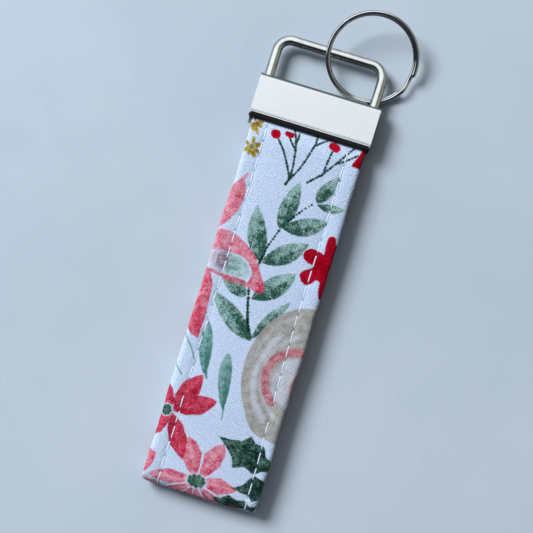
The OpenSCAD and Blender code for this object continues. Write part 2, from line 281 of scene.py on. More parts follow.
class Print:
    """The ink fields and the tone (how full the ink is) at a set of places."""

    def __init__(self, u, v):
        self.u, self.v = u, v
        self.ink = {k: np.full(u.shape, FAR) for k in INKS}
        self.tone = np.full(u.shape, UNSET)

    def add(self, ink, field, tone=None):
        over = field > self.ink[ink]
        self.ink[ink] = np.where(over, field, self.ink[ink])
        if tone is not None:
            inside = over & (field > -0.4)
            self.tone = np.where(inside, tone, self.tone)

    def along(self, base, tip):
        """Share of the way from base to tip, distance to the side, and the length."""
        a = np.array(tip, float) - np.array(base, float)
        length = math.hypot(*a)
        du, dv = self.u - base[0], self.v - base[1]
        t = (du * a[0] + dv * a[1]) / length ** 2
        n = (du * -a[1] + dv * a[0]) / length
        return t, n, length

    def blade(self, base, tip, width, belly, bend, blunt, wobble=0.0):
        """Distance field of a pointed leaf or petal; belly is where along it is widest,
        blunt below 1 rounds its tip."""
        t, n, length = self.along(base, tip)
        c = np.clip(t, 1e-4, 1 - 1e-4)
        n = n - bend * np.sin(math.pi * c)
        p, q = (belly / (1 - belly), 1.0) if belly < 0.5 else (1.0, (1 - belly) / belly)
        peak = belly ** p * (1 - belly) ** q
        half = width / 2 * (c ** p * (1 - c) ** q / peak) ** blunt
        if wobble:
            half = half * (1 + wobble * np.sin(2 * math.pi * (c * 3.0 + base[0])))
        field = (half - np.abs(n)) * 0.9
        beyond = np.maximum(-t, t - 1) * length
        return np.where(beyond > 0, -np.hypot(beyond, n), field), t, n

    def leaf(self, ink, base, tip, width, belly, bend, blunt=0.92):
        field, t, n = self.blade(base, tip, width, belly, bend, blunt)
        self.add(ink, field, 1.3 - 1.15 * np.clip(t, 0, 1) + 0.2 * np.sign(n))

    def shape(self, ink, outline, tone=0.5, dark=None):
        """Closed outline; dark is a place near which the ink is fuller."""
        points = np.array(outline, float)
        inside = np.zeros(self.u.shape, bool)
        near = np.full(self.u.shape, 1e9)
        for (x0, y0), (x1, y1) in zip(points, np.roll(points, -1, 0)):
            ex, ey = x1 - x0, y1 - y0
            t = np.clip(((self.u - x0) * ex + (self.v - y0) * ey) / (ex * ex + ey * ey), 0, 1)
            near = np.minimum(near, np.hypot(self.u - x0 - t * ex, self.v - y0 - t * ey))
            crosses = (y0 > self.v) != (y1 > self.v)
            if ey:
                inside ^= crosses & (self.u < x0 + ex * (self.v - y0) / ey)
        fullness = tone + 0 * near
        if dark is not None:
            fullness = tone + 0.5 * np.exp(
                -(((self.u - dark[0]) ** 2 + (self.v - dark[1]) ** 2) / dark[2] ** 2))
        self.add(ink, np.where(inside, near, -near), fullness)

    def dot(self, ink, centre, radius, tone=0.5):
        d = np.hypot(self.u - centre[0], self.v - centre[1])
        self.add(ink, radius - d, tone + 0 * d)

    def line(self, ink, points, width, dashes=0.0):
        """Thin stroke; dashes breaks it into short dabs of the brush."""
        run = 0.0
        for (a, b) in zip(points[:-1], points[1:]):
            t, n, length = self.along(a, b)
            past = np.maximum(np.maximum(-t, t - 1), 0) * length
            at = run + np.clip(t, 0, 1) * length
            dabs = np.sin(2 * math.pi * at / DAB_L) + 0.5 * np.sin(3.1 * at + a[0])
            thin = dashes * (0.9 + dabs)
            self.add(ink, width / 2 - thin - np.hypot(past, n))
            run += length

    def ring(self, ink, centre, radii, width, start=0.0, end=2 * math.pi, tone=0.5, wander=0.0):
        """Part of an ellipse drawn with a soft brush."""
        du, dv = (self.u - centre[0]) / radii[0], (self.v - centre[1]) / radii[1]
        rho = np.hypot(du, dv)
        angle = np.mod(np.arctan2(dv, du), 2 * math.pi)
        rho = rho + wander * np.sin(angle * 3 + centre[0] + radii[0])
        field = width / 2 - np.abs(rho - 1) * (radii[0] + radii[1]) / 2
        gap = np.where((angle >= start) & (angle <= end), 0.0,
                       np.minimum(np.abs(angle - start), np.abs(angle - end)) * radii[0])
        self.add(ink, field - gap, tone + 0 * field)

    def disc(self, ink, centre, radii, tone=0.5):
        rho = np.hypot((self.u - centre[0]) / radii[0], (self.v - centre[1]) / radii[1])
        self.add(ink, (1 - rho) * (radii[0] + radii[1]) / 2, tone + 0 * rho)

    def petals(self, ink, centre, tips, gap, blunt):
        """A flower of pointed petals with a thin bare line between neighbours. Each tip is
        (u, v, width, belly)."""
        first = np.full(self.u.shape, FAR)
        second = first.copy()
        tone = np.full(self.u.shape, 0.5)
        for u, v, width, belly in tips:
            field, t, n = self.blade(centre, (u, v), width, belly, 0.0, blunt, 0.05)
            second = np.maximum(second, np.minimum(field, first))
            over = field > first
            vein = 0.35 * np.exp(-((n / 0.35) ** 2)) * (t > 0.3)
            tone = np.where(over, 0.8 - 0.45 * np.clip(t, 0, 1) + 0.12 * np.sign(n) - vein, tone)
            first = np.maximum(first, field)
        split = np.clip(gap - (first - second), 0, gap) * (second > -0.2) * 3.0
        self.add(ink, np.minimum(first, first - split), tone)


def draw_leafy_branch(p):
    for stem in (
            ([(21.3, 16.8), (19.4, 18.8)], 0.66, 0.16),
            ([(19.3, 18.9), (16.4, 22.9)], 0.85, 0.16),
            ([(15.0, 25.4), (14.3, 27.6), (13.3, 30.5), (12.7, 33.5)], 0.74, 0.11),
            ([(12.7, 33.6), (12.4, 35.9)], 0.85, 0.10),
            ([(12.1, 37.0), (11.7, 41.6), (12.5, 44.6)], 1.0, 0.19),
            ([(12.5, 44.9), (13.8, 49.6), (15.0, 52.4)], 1.0, 0.12)):
        p.line("stem", *stem)
    for leaf in (
            ((21.8, 16.3), (26.0, 8.2), 3.7, 0.38, -0.2),
            ((22.1, 16.9), (29.4, 16.2), 2.3, 0.50, 0.35),
            ((14.8, 25.4), (16.4, 12.3), 4.6, 0.42, 0.0),
            ((15.4, 25.2), (26.2, 20.4), 4.7, 0.50, 0.5),
            ((12.7, 34.9), (7.7, 21.2), 5.0, 0.44, -0.5),
            ((13.0, 35.0), (23.1, 27.0), 5.0, 0.48, 0.3),
            ((13.2, 44.6), (22.3, 35.2), 5.4, 0.50, 0.3)):
        p.leaf("leaf", *leaf)
    p.shape("leaf", [
        (4.6, 41.6), (7.4, 40.2), (10.6, 41.0), (12.0, 44.0), (10.9, 45.0), (8.2, 44.7),
        (6.0, 43.4)], 0.5, (10.0, 43.6, 2.4))
    p.leaf("leaf", (16.3, 54.5), (3.4, 45.1), 4.9, 0.44, -0.3)
    p.leaf("leaf", (16.1, 54.3), (23.4, 42.0), 2.7, 0.48, -0.5)


def draw_berries(p):
    for berry in (((6.9, 2.5), 1.35, 0.7), ((10.6, 1.7), 0.95, 0.6), ((9.9, 1.6), 0.85, 0.6),
                  ((21.6, 1.2), 1.2, 0.6), ((22.4, 1.6), 1.15, 0.6)):
        p.dot("red", *berry)
    for stroke in (
            [(7.8, 3.6), (10.0, 6.2), (12.0, 9.6), (13.3, 12.2)],
            [(10.6, 2.6), (11.4, 3.6), (12.8, 5.2)],
            [(11.2, -0.4), (12.2, 2.6), (12.9, 5.5), (13.4, 9.0), (13.5, 12.2)],
            [(12.7, 0.6), (12.6, 3.6)],
            [(17.2, -0.8), (17.2, 2.2), (16.3, 6.0), (15.2, 9.4), (13.8, 12.2)],
            [(20.6, -0.6), (18.4, 1.4), (17.2, 2.8)],
            [(20.4, 9.9), (21.2, 9.2), (21.5, 5.5), (21.9, 2.4)],
            [(26.8, -0.2), (25.2, 3.0), (23.4, 5.8), (21.0, 9.3)],
            [(28.2, 1.8), (25.6, 4.3), (23.4, 5.6)]):
        p.line("stem", stroke, 0.76, 0.075)
    p.line("stem", [(13.9, 11.4), (12.9, 14.2)], 0.95, 0.06)
    p.line("stem", [(21.0, 9.2), (18.0, 12.2)], 0.8, 0.06)


def draw_small_flowers(p):
    for centre, *tips in (
            ((1.2, 0.9), (3.4, 0.3), (3.2, 1.9), (2.5, 4.1), (1.0, 3.6), (-0.6, 2.9),
             (0.3, -1.2)),
            ((1.9, 7.6), (1.7, 4.8), (4.0, 6.0), (4.5, 8.4), (3.4, 9.9), (1.6, 9.9), (-0.1, 9.0),
             (-0.4, 6.4))):
        for k, tip in enumerate(tips):
            p.leaf("mustard", centre, tip, 1.0 + 0.25 * (k % 2), 0.66, 0.0, 0.6)
    p.dot("mustard", (1.9, 7.8), 1.2)
    p.dot("heart", (1.9, 7.5), 0.68, -0.5)


def draw_red_flower(p):
    p.shape("red", [
        (22.3, 29.6), (22.9, 28.4), (24.2, 27.8), (26.0, 27.9), (27.4, 28.4), (27.2, 26.0),
        (27.2, 24.2), (28.0, 23.3), (29.0, 23.4), (29.6, 25.0), (31.2, 26.0), (33.0, 30.0),
        (31.4, 33.6), (30.6, 39.8), (29.4, 39.6), (28.7, 38.0), (28.3, 35.4), (27.4, 35.2),
        (26.4, 36.6), (25.0, 37.2), (23.8, 36.6), (23.0, 35.2), (23.6, 33.8), (25.4, 32.6),
        (25.8, 31.9), (24.2, 31.7), (22.9, 31.0)], 0.55, (27.0, 31.0, 2.6))
    p.shape("red", [(28.7, -1.0), (31.4, -1.0), (31.4, 5.1), (27.4, 5.0), (28.2, 2.5)], 0.8)


def draw_loop_petals(p):
    p.shape("salmon", [
        (-1.2, 30.0), (-0.6, 18.4), (1.0, 16.8), (2.0, 15.3), (3.2, 13.6), (3.4, 14.6),
        (2.6, 16.2), (3.3, 17.0), (3.9, 18.6), (4.0, 21.0), (3.5, 24.2), (2.4, 26.6),
        (0.6, 29.2)], 0.35, (3.0, 20.5, 1.5))
    p.shape("salmon", [
        (-1.0, 29.8), (2.6, 29.5), (5.2, 30.0), (7.6, 31.2), (9.8, 32.8), (11.4, 34.2),
        (12.8, 36.3), (14.3, 38.6), (15.8, 41.0), (15.4, 42.5), (13.5, 42.5), (10.4, 41.8),
        (11.3, 40.0), (11.6, 38.6), (10.8, 37.0), (9.0, 35.4), (7.2, 34.8), (4.4, 34.7),
        (2.2, 34.9), (-1.0, 35.6)], 0.35, (14.3, 40.3, 1.8))
    p.shape("aqua", [
        (4.6, 34.9), (7.4, 35.1), (9.4, 36.0), (10.9, 38.0), (10.9, 39.8), (8.0, 40.4),
        (4.9, 40.3), (4.2, 37.5)], 0.25, (6.0, 37.6, 2.6))
    p.disc("umber", (3.3, 37.0), (2.0, 3.0), 0.75)
    p.disc("umber", (1.0, 37.2), (1.6, 2.6), 0.0)
    p.line("rose", [(4.6, 41.1), (6.6, 41.4), (10.0, 41.0)], 1.5)
    p.line("salmon", [(-1.0, 40.0), (3.0, 40.8), (10.2, 41.0)], 0.9)
    p.shape("salmon", [
        (-1.4, 39.0), (1.6, 41.2), (2.8, 43.5), (3.2, 47.0), (3.5, 52.0), (3.4, 58.0),
        (1.5, 57.5), (0.0, 56.2), (-1.4, 54.8)], 0.66, (1.8, 53.5, 3.0))


def draw_rosette(p):
    c = (30.2, 60.0)
    p.disc("taupe", c, (13.9, 17.7), 0.6)
    p.disc("taupe", (27.0, 69.0), (7.4, 8.3), 0.6)
    p.ring("cream", (30.2, 60.8), (10.3, 13.8), 1.9, 2.1, 3.9, 0.45, 0.03)
    p.ring("cream", (30.2, 60.8), (8.6, 11.2), 0.9, 1.9, 4.4, 0.3, 0.03)
    p.ring("cream", (30.2, 60.8), (12.2, 16.0), 0.35, 3.3, 4.4, 0.4, 0.02)
    p.disc("cream", (30.2, 61.8), (6.2, 6.6), 0.45)
    p.ring("rose", (30.4, 61.6), (8.0, 8.1), 2.3, 2.2, 4.7, 0.5, 0.03)
    p.disc("rose", (31.0, 62.6), (2.0, 3.4), 0.3)
    p.ring("taupe", (30.2, 61.8), (4.2, 4.8), 0.4, 1.9, 4.2, 0.2, 0.05)


def draw_single_leaves(p):
    p.leaf("sage", (7.8, 66.6), (4.6, 52.8), 3.4, 0.56, -0.25)
    p.line("sage", [(7.7, 64.8), (8.4, 66.8)], 0.6)
    p.leaf("sage", (14.7, 73.6), (11.8, 59.2), 3.4, 0.60, -0.3)
    p.line("sage", [(14.6, 71.8), (15.1, 75.6)], 0.5)
    p.line("sage", [(-1.0, 56.6), (2.4, 60.4), (4.5, 63.8)], 0.5)
    p.line("sage", [(-1.0, 64.6), (2.2, 67.7)], 0.45)


def draw_heart(p, centre, radii):
    """Knot of small dark seeds in the middle of a flower."""
    p.disc("blush", centre, (radii[0] + 0.45, radii[1] + 0.45), 0.0)
    for k in range(9):
        a = 2 * math.pi * k / 9
        p.dot("heart", (centre[0] + radii[0] * 0.75 * math.cos(a),
                        centre[1] + radii[1] * 0.75 * math.sin(a)), min(radii) * 0.40, 0.8)
    p.disc("heart", centre, (radii[0] * 0.62, radii[1] * 0.62), 0.4)


def draw_flowers(p):
    p.petals("crimson", (2.4, 77.2),
             [(7.4, 66.2, 5.0, 0.54), (12.7, 71.6, 4.8, 0.56), (8.8, 88.2, 4.7, 0.50),
              (-2.2, 85.0, 4.0, 0.52), (-2.4, 69.6, 3.8, 0.52), (-8.0, 77.0, 5.0, 0.55)],
             0.12, 1.15)
    draw_heart(p, (1.0, 77.2), (1.3, 1.3))
    p.petals("salmon", (13.6, 92.0),
             [(8.6, 82.0, 4.9, 0.56), (17.6, 81.4, 4.8, 0.58), (24.0, 91.5, 4.0, 0.50),
              (21.8, 98.0, 3.0, 0.55), (16.4, 101.6, 3.3, 0.58), (10.8, 101.8, 3.2, 0.58),
              (5.6, 98.6, 2.9, 0.55), (1.2, 93.6, 3.7, 0.53)], 0.45, 1.05)
    p.shape("salmon", [(0.2, 94.9), (4.8, 95.0), (5.4, 97.6), (0.4, 97.4)], -0.3)
    draw_heart(p, (13.6, 92.0), (2.4, 1.55))
    p.shape("salmon", [(-2.0, 87.2), (1.9, 87.9), (1.9, 90.6), (0.8, 93.4), (-2.0, 95.0)], 0.5)


def draw_hollies(p):
    p.shape("holly", [
        (15.5, 79.6), (18.6, 79.6), (21.6, 79.1), (23.6, 77.3), (25.0, 78.8), (27.4, 79.0),
        (28.4, 81.2), (31.2, 82.8), (31.2, 84.4), (28.2, 85.3), (26.8, 86.5), (24.0, 85.3),
        (21.1, 86.3), (20.2, 83.8), (18.5, 82.1)], 0.8, (25.6, 83.4, 2.4))
    p.shape("holly", [
        (22.6, 91.0), (24.8, 89.6), (26.9, 86.5), (28.6, 86.9), (31.2, 87.6), (31.2, 91.3),
        (28.3, 93.1), (26.9, 91.7), (24.6, 91.6)], 0.8, (28.0, 89.8, 2.0))
    p.shape("holly", [
        (18.4, 94.4), (20.4, 94.2), (22.4, 92.8), (24.4, 93.6), (26.6, 93.1), (28.0, 94.3),
        (30.4, 94.0), (29.2, 96.6), (26.4, 96.0), (24.4, 97.6), (20.8, 96.9)], 0.8,
        (23.0, 95.2, 2.0))
    p.dot("red", (24.0, 97.2), 1.5)
    p.dot("red", (27.2, 99.8), 1.1)


def draw_everything(p):
    for draw in (draw_rosette, draw_loop_petals, draw_leafy_branch, draw_berries,
                 draw_small_flowers, draw_red_flower, draw_single_leaves, draw_flowers,
                 draw_hollies):
        draw(p)


REPEAT_V = 106.0  # the print repeats along the cloth
REPEAT_FROM = 101.5  # where the next repeat takes over on the outward face
INNER_DROP = 37.0  # the print is shifted on the face that is turned inward
INNER_NAP = 90.0  # and so is the nap, sideways


def printed(u, v, inside):
    """Ink fields for the whole cloth. The far half of the strip carries the next repeat,
    mirrored, and the inward face a dropped one."""
    p = Print(np.where(inside > 0.5, STRAP_W - u, u), v)
    outward = inside < 0.5
    fields = {k: np.full(u.shape, FAR) for k in INKS}
    tone = np.full(u.shape, UNSET)
    for mask, flip, offset in ((outward & (v < REPEAT_FROM), False, 0.0),
                               (outward & (v >= REPEAT_FROM), True, REPEAT_V),
                               (~outward, False, INNER_DROP - REPEAT_V),
                               (~outward, False, INNER_DROP),
                               (~outward, False, INNER_DROP + REPEAT_V)):
        if not mask.any():
            continue
        uu = p.u[mask]
        q = Print(STRAP_W - uu if flip else uu, v[mask] - offset)
        draw_everything(q)
        for k in INKS:
            fields[k][mask] = np.maximum(fields[k][mask], q.ink[k])
        tone[mask] = np.where(q.tone != UNSET, q.tone, tone[mask])
    return fields, tone


# ======== node helpers
class Nodes:
    """Short ways to build one node tree."""

    def __init__(self, tree):
        self.tree = tree

    def link(self, a, b):
        self.tree.links.new(a, b)

    def put(self, socket, value):
        if isinstance(value, bpy.types.NodeSocket):
            self.link(value, socket)
        else:
            socket.default_value = value

    def node(self, kind, **props):
        n = self.tree.nodes.new(kind)
        for k, v in props.items():
            setattr(n, k, v)
        return n

    def math(self, op, a, b=0.0, c=0.0, clamp=False):
        n = self.node("ShaderNodeMath", operation=op, use_clamp=clamp)
        for socket, value in zip(n.inputs, (a, b, c)):
            self.put(socket, value)
        return n.outputs[0]

    def plus(self, a, b, clamp=False):
        return self.math("ADD", a, b, clamp=clamp)

    def minus(self, a, b):
        return self.math("SUBTRACT", a, b)

    def times(self, a, b, clamp=False):
        return self.math("MULTIPLY", a, b, clamp=clamp)

    def separate(self, vector):
        n = self.node("ShaderNodeSeparateXYZ")
        self.link(vector, n.inputs[0])
        return n.outputs

    def place(self, kind="Object"):
        return self.node("ShaderNodeTexCoord").outputs[kind]

    def attribute(self, name, vector=False):
        n = self.node("ShaderNodeAttribute", attribute_name=name)
        return n.outputs["Vector"] if vector else n.outputs["Fac"]

    def noise(self, vector, scale, detail=2.0, rough=0.5):
        n = self.node("ShaderNodeTexNoise")
        self.put(n.inputs["Vector"], vector)
        n.inputs["Scale"].default_value = scale
        n.inputs["Detail"].default_value = detail
        n.inputs["Roughness"].default_value = rough
        return n.outputs["Fac"]

    def wave(self, vector, direction, scale, distortion):
        n = self.node("ShaderNodeTexWave", wave_type="BANDS", bands_direction=direction)
        self.put(n.inputs["Vector"], vector)
        n.inputs["Scale"].default_value = scale
        n.inputs["Distortion"].default_value = distortion
        return n.outputs["Fac"]

    def ramp(self, value, low, high, to_low=0.0, to_high=1.0):
        n = self.node("ShaderNodeMapRange", interpolation_type="SMOOTHSTEP")
        self.put(n.inputs["Value"], value)
        for key, v in (("From Min", low), ("From Max", high), ("To Min", to_low),
                       ("To Max", to_high)):
            self.put(n.inputs[key], v)
        return n.outputs["Result"]

    def mix(self, factor, a, b, blend="MIX"):
        n = self.node("ShaderNodeMix", data_type="RGBA", blend_type=blend)
        self.put(n.inputs["Factor"], factor)
        for key, value in (("A", a), ("B", b)):
            socket = [i for i in n.inputs if i.name == key and i.type == "RGBA"][0]
            if isinstance(value, tuple):
                socket.default_value = (*value, 1.0)
            else:
                self.link(value, socket)
        return [o for o in n.outputs if o.type == "RGBA"][0]

    def bump(self, height, strength, distance_mm):
        n = self.node("ShaderNodeBump")
        self.put(n.inputs["Height"], height)
        n.inputs["Strength"].default_value = strength
        n.inputs["Distance"].default_value = distance_mm * MM
        return n.outputs["Normal"]


class Surface(Nodes):
    """The node tree of a new material with its one shader."""

    def __init__(self, name):
        self.material = bpy.data.materials.new(name)
        self.material.use_nodes = True
        super().__init__(self.material.node_tree)
        self.shader = self.tree.nodes["Principled BSDF"]

    def drive(self, key, value):
        """Give a shader input its value: a node's output, or a constant."""
        self.put(self.shader.inputs[key], value)


def linear(r, g, b):
    """A colour given as sRGB 0-255, made linear."""
    return tuple(((c / 255) / 12.92) if c <= 10 else (((c / 255) + 0.055) / 1.055) ** 2.4
                 for c in (r, g, b))


# ======== materials
# two tones for each ink, pale and full, in sRGB 0-255
INK_COLOURS = {
    "taupe": ((192, 188, 182), (158, 152, 142)),
    "cream": ((214, 216, 226), (190, 190, 196)),
    "rose": ((218, 150, 158), (176, 80, 94)),
    "umber": ((206, 180, 190), (124, 88, 98)),
    "aqua": ((190, 212, 216), (92, 138, 122)),
    "salmon": ((236, 148, 162), (208, 50, 84)),
    "leaf": ((146, 190, 172), (8, 74, 46)),
    "sage": ((136, 180, 174), (62, 120, 110)),
    "stem": ((40, 84, 68), (8, 44, 32)),
    "holly": ((92, 142, 116), (0, 40, 26)),
    "red": ((204, 0, 46), (154, 0, 24)),
    "crimson": ((222, 52, 88), (166, 0, 34)),
    "blush": ((206, 210, 228), (200, 204, 222)),
    "mustard": ((196, 166, 20), (122, 94, 0)),
    "heart": ((104, 140, 120), (30, 72, 50)),
}
# how softly each ink ends, in mm, and how ragged its edge is
INK_EDGE = {"umber": (1.5, 1.2), "aqua": (0.7, 1.0), "cream": (0.7, 1.3), "rose": (0.5, 0.9),
            "taupe": (0.3, 0.5), "salmon": (0.25, 0.8), "stem": (0.2, 0.4),
            "blush": (0.3, 0.4), "heart": (0.25, 0.5), "leaf": (0.22, 0.7),
            "mustard": (0.2, 1.1), "red": (0.18, 0.8), "holly": (0.2, 0.8)}
# how much white cloth the nap lets through where the ink is thin
INK_BARE = {"umber": 0.7, "aqua": 0.6, "cream": 0.5, "leaf": 0.75, "sage": 0.35, "salmon": 0.4,
            "rose": 0.4, "taupe": 0.2, "mustard": 0.2, "crimson": 0.2, "holly": 0.3}
CLOTH_WHITE = linear(216, 231, 252)
CLOTH_SHADE = linear(203, 217, 241)
NEEDLE_HOLE_SHADE = linear(70, 76, 96)
RIB_STEP = 0.72  # measured along u + v, so that the ribs lie 0.51 mm apart


def make_cloth():
    m = Surface("printed_flannel")
    place = m.attribute("cloth_place", vector=True)
    wash = m.noise(place, 0.5, 4.0, 0.62)      # watercolour clouds, a few mm across
    grain = m.noise(place, 1.7, 3.0, 0.65)     # ink taken up unevenly by the nap
    fibre = m.noise(place, 4.2, 2.0, 0.6)      # single fibres
    ragged = m.minus(m.noise(place, 1.1, 4.0, 0.75), 0.5)
    u, v, _ = m.separate(place)
    # twill: slanting ribs 0.5 mm apart, wandering a little with the nap
    slant = m.plus(m.plus(u, v), m.times(grain, 0.9))
    rib = m.math("SINE", m.times(slant, 2 * math.pi / RIB_STEP))
    tone = m.attribute("ink_tone")
    cloud = m.times(m.minus(wash, 0.5), 2.6)
    speck = m.times(m.minus(grain, 0.5), 1.9)
    depth = m.plus(m.plus(m.times(tone, 0.85), cloud), speck)
    depth = m.plus(depth, 0.05, clamp=True)
    net = m.noise(place, 2.9, 2.0, 0.6)        # threads that stand above the ink
    thin = m.minus(1.25, depth)
    flecks = m.times(thin, m.ramp(m.plus(net, m.times(rib, 0.05)), 0.47, 0.64))
    colour = m.mix(m.ramp(grain, 0.36, 0.66), CLOTH_SHADE, CLOTH_WHITE)
    for ink in INKS:
        soft, rag = INK_EDGE.get(ink, (0.22, 0.4))
        field = m.plus(m.attribute("ink_" + ink), m.times(ragged, rag))
        cover = m.ramp(field, -soft * 0.6, soft)
        bare = m.times(flecks, INK_BARE.get(ink, 0.02))
        taken = m.minus(1.0, bare)
        pale, full = (linear(*c) for c in INK_COLOURS[ink])
        colour = m.mix(m.times(cover, taken), colour, m.mix(depth, pale, full))
    nap = m.plus(m.times(fibre, 1.2), m.times(rib, 0.24))
    nap = m.plus(nap, m.times(grain, 1.1))
    shade = m.ramp(nap, 0.75, 1.6, 0.0, 1.0)
    # painted shade in the needle holes
    colour = m.mix(m.times(m.attribute("needle"), 0.6), colour, NEEDLE_HOLE_SHADE)
    colour = m.mix(0.34, colour, m.mix(shade, (0.66, 0.68, 0.74), (1.0, 1.0, 1.0)), "MULTIPLY")
    m.drive("Base Color", colour)
    m.drive("Normal", m.bump(nap, 0.9, 0.24))
    m.drive("Roughness", m.ramp(grain, 0.3, 0.8, 0.82, 0.95))
    m.drive("Sheen Weight", 0.02)
    m.drive("Sheen Roughness", 0.45)
    m.drive("Specular IOR Level", 0.06)
    return m.material


def make_thread():
    m = Surface("white_thread")
    twist = m.wave(m.place(), "DIAGONAL", 900.0, 1.5)
    m.drive("Base Color", m.mix(twist, linear(196, 205, 224), linear(240, 246, 255)))
    m.drive("Normal", m.bump(twist, 0.6, 0.06))
    m.drive("Roughness", 0.55)
    m.drive("Sheen Weight", 0.3)
    return m.material


def make_webbing():
    m = Surface("webbing_core")
    place = m.place()
    weave = m.wave(place, "Y", 420.0, 2.0)
    fuzz = m.noise(place, 2600.0, 3.0)
    m.drive("Base Color", m.mix(m.times(weave, fuzz), linear(186, 182, 172),
                                linear(226, 224, 216)))
    m.drive("Normal", m.bump(weave, 0.5, 0.15))
    m.drive("Roughness", 0.9)
    return m.material


def make_metal(name, pale, dark, roughness, cloud_scale, bump_mm, flank_shade, reach,
               scratches=0.0, crown=None, unshaded_lip=0.0, shade_below=0.0):
    """Plated metal: cloudy plating, faint dents, fine rubbing marks, and painted shade (the
    flank colour) where the surface turns edge-on, away from facing up or down, standing in
    for shade and dark reflections along its edges. How far it turns is read from the
    attribute crown, or from the normal; reach is where the painted shade is full and where
    it ends. unshaded_lip keeps faces turned to -Y out of the painted shade, and shade_below
    paints shade on everything under that height along Y."""
    m = Surface(name)
    place = m.place()
    cloud = m.noise(place, cloud_scale, 2.0, 0.6)
    fine = m.noise(place, cloud_scale * 14, 3.0, 0.6)
    colour = m.mix(m.ramp(cloud, 0.35, 0.65), dark, pale)
    # painted shade: up says how far the surface faces up or down; where it turns sideways the
    # flank colour is painted in, standing in for shade and dark reflections
    if crown:
        up = m.attribute(crown)
    else:
        _, ny, nz = m.separate(m.place("Normal"))
        # faces turned to -Y (the clamp's rolled lip) are kept out of the painted shade
        lip_facing = m.times(ny, -unshaded_lip, clamp=True)
        up = m.math("MAXIMUM", m.math("ABSOLUTE", nz), lip_facing)
    # painted shade on everything below that height along Y: on the clamp, the bits of the back
    # jaw below the mouth
    if shade_below:
        edge = m.ramp(m.separate(place)[1], shade_below * MM, (shade_below + 0.1) * MM,
                      reach[0], 1.0)
        up = m.times(up, edge)
    uneven = m.times(m.minus(cloud, 0.5), m.minus(1.0, up))
    # painted shade: the flank colour where the surface turns sideways
    colour = m.mix(m.ramp(m.plus(up, uneven), *reach), flank_shade, colour)
    m.drive("Base Color", colour)
    m.drive("Metallic", 1.0)
    rough = m.ramp(m.plus(m.times(cloud, 0.6), m.times(fine, 0.4)), 0.35, 0.65, *roughness)
    if scratches:
        stretch = m.node("ShaderNodeMapping")
        m.put(stretch.inputs["Vector"], place)
        stretch.inputs["Scale"].default_value = (150.0, 5200.0, 5200.0)
        lines = m.noise(stretch.outputs["Vector"], 1.0, 3.0, 0.6)
        rough = m.plus(rough, m.times(lines, scratches))
    m.drive("Roughness", rough)
    m.drive("Normal", m.bump(cloud, 0.5, bump_mm))
    return m.material


def make_liner():
    m = Surface("black_liner")
    place = m.place()
    grain = m.noise(place, 1400.0, 3.0, 0.6)
    wear = m.noise(place, 220.0, 3.0, 0.6)
    m.drive("Base Color", m.mix(wear, linear(6, 6, 9), linear(20, 20, 24)))
    m.drive("Specular IOR Level", 0.25)
    m.drive("Roughness", m.ramp(wear, 0.3, 0.7, 0.42, 0.62))
    m.drive("Normal", m.bump(grain, 0.35, 0.05))
    return m.material


# ======== build the strap
cloth, thread, webbing = make_cloth(), make_thread(), make_webbing()
# painted shade: the clamp's spine and sides get a dark flank colour, its rolled lip is kept pale,
# and its back jaw below the mouth is shaded
clamp_metal = make_metal("satin_nickel_sheet", (0.97, 0.97, 0.965), (0.89, 0.895, 0.89),
                         (0.22, 0.32), 130.0, 0.05, (0.22, 0.265, 0.25), (0.93, 0.995),
                         scratches=0.05, unshaded_lip=5.0, shade_below=MOUTH_Y + 0.1)
# painted shade: dark flank colour along the wire's edges, standing in for its dark reflections
wire_metal = make_metal("bright_nickel_wire", (0.88, 0.88, 0.83), (0.76, 0.76, 0.71),
                        (0.05, 0.11), 320.0, 0.03, (0.07, 0.08, 0.07), (0.45, 0.84))
# painted shade: dark flank colour on the ring's sides, read from the crown attribute
ring_metal = make_metal("bright_nickel_ring", (0.95, 0.96, 0.94), (0.84, 0.85, 0.83),
                        (0.05, 0.12), 420.0, 0.02, (0.05, 0.06, 0.055), (0.74, 0.92),
                        crown="crown")
liner_black = make_liner()

QUARTER = STRAP_L / 4
MIDDLE = STRAP_L / 2
BACK_END = LOOP_L + PINCHED_L
HINGE_Y = MOUTH_Y - MIDDLE
# how far each bend is spread: along the strap from a middle hinge and from the mouth, and
# up and down from the middle of the fold
BEND_REACH, MOUTH_REACH, FOLD_REACH = 8.0, 4.0, 0.42
BEND_FAR, BEND_NEAR = (0, HINGE_Y - BEND_REACH, MID_Z), (0, HINGE_Y + BEND_REACH, MID_Z)
# name, start and end along the loop, and the body it rides on or the joint it crosses:
# (body, body, start, end)
SEGMENTS = [
    ("mouth_front", 0.0, QUARTER, ("front_near",)),
    ("front", QUARTER, 3 * QUARTER, ("front_far", "front_near", BEND_FAR, BEND_NEAR)),
    ("fold", 3 * QUARTER, LOOP_L - 3 * QUARTER,
     ("back_far", "front_far", (0, 0, MID_Z - FOLD_REACH), (0, 0, MID_Z + FOLD_REACH))),
    ("back", LOOP_L - 3 * QUARTER, LOOP_L - QUARTER,
     ("back_near", "back_far", BEND_NEAR, BEND_FAR)),
    ("mouth_back", LOOP_L - QUARTER, BACK_END,
     ("clamp", "back_near", (0, MOUTH_Y - 0.1, MID_Z), (0, MOUTH_Y - MOUTH_REACH, MID_Z))),
    ("pinched_front", -PINCHED_L, -0.02, ("clamp",)),
]


def attach(obj, rule):
    if len(rule) == 1:
        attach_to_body(obj, rule[0])
    else:
        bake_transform(obj)


def rows_between(s0, s1):
    """Arc lengths of the rows of one piece; closer together round the fold."""
    stops = [s0] + [c for c in (STRAIGHT_L, STRAIGHT_L + ARC_L) if s0 < c < s1] + [s1]
    parts = []
    for a, b in zip(stops[:-1], stops[1:]):
        in_fold = a >= STRAIGHT_L - 1e-6 and b <= STRAIGHT_L + ARC_L + 1e-6
        step = FOLD_ROW_STEP if in_fold else ROW_STEP
        n = max(2, int(round((b - a) / step)) + 1)
        part = np.linspace(a, b, n)
        parts.append(part if not parts else part[1:])
    return np.concatenate(parts)


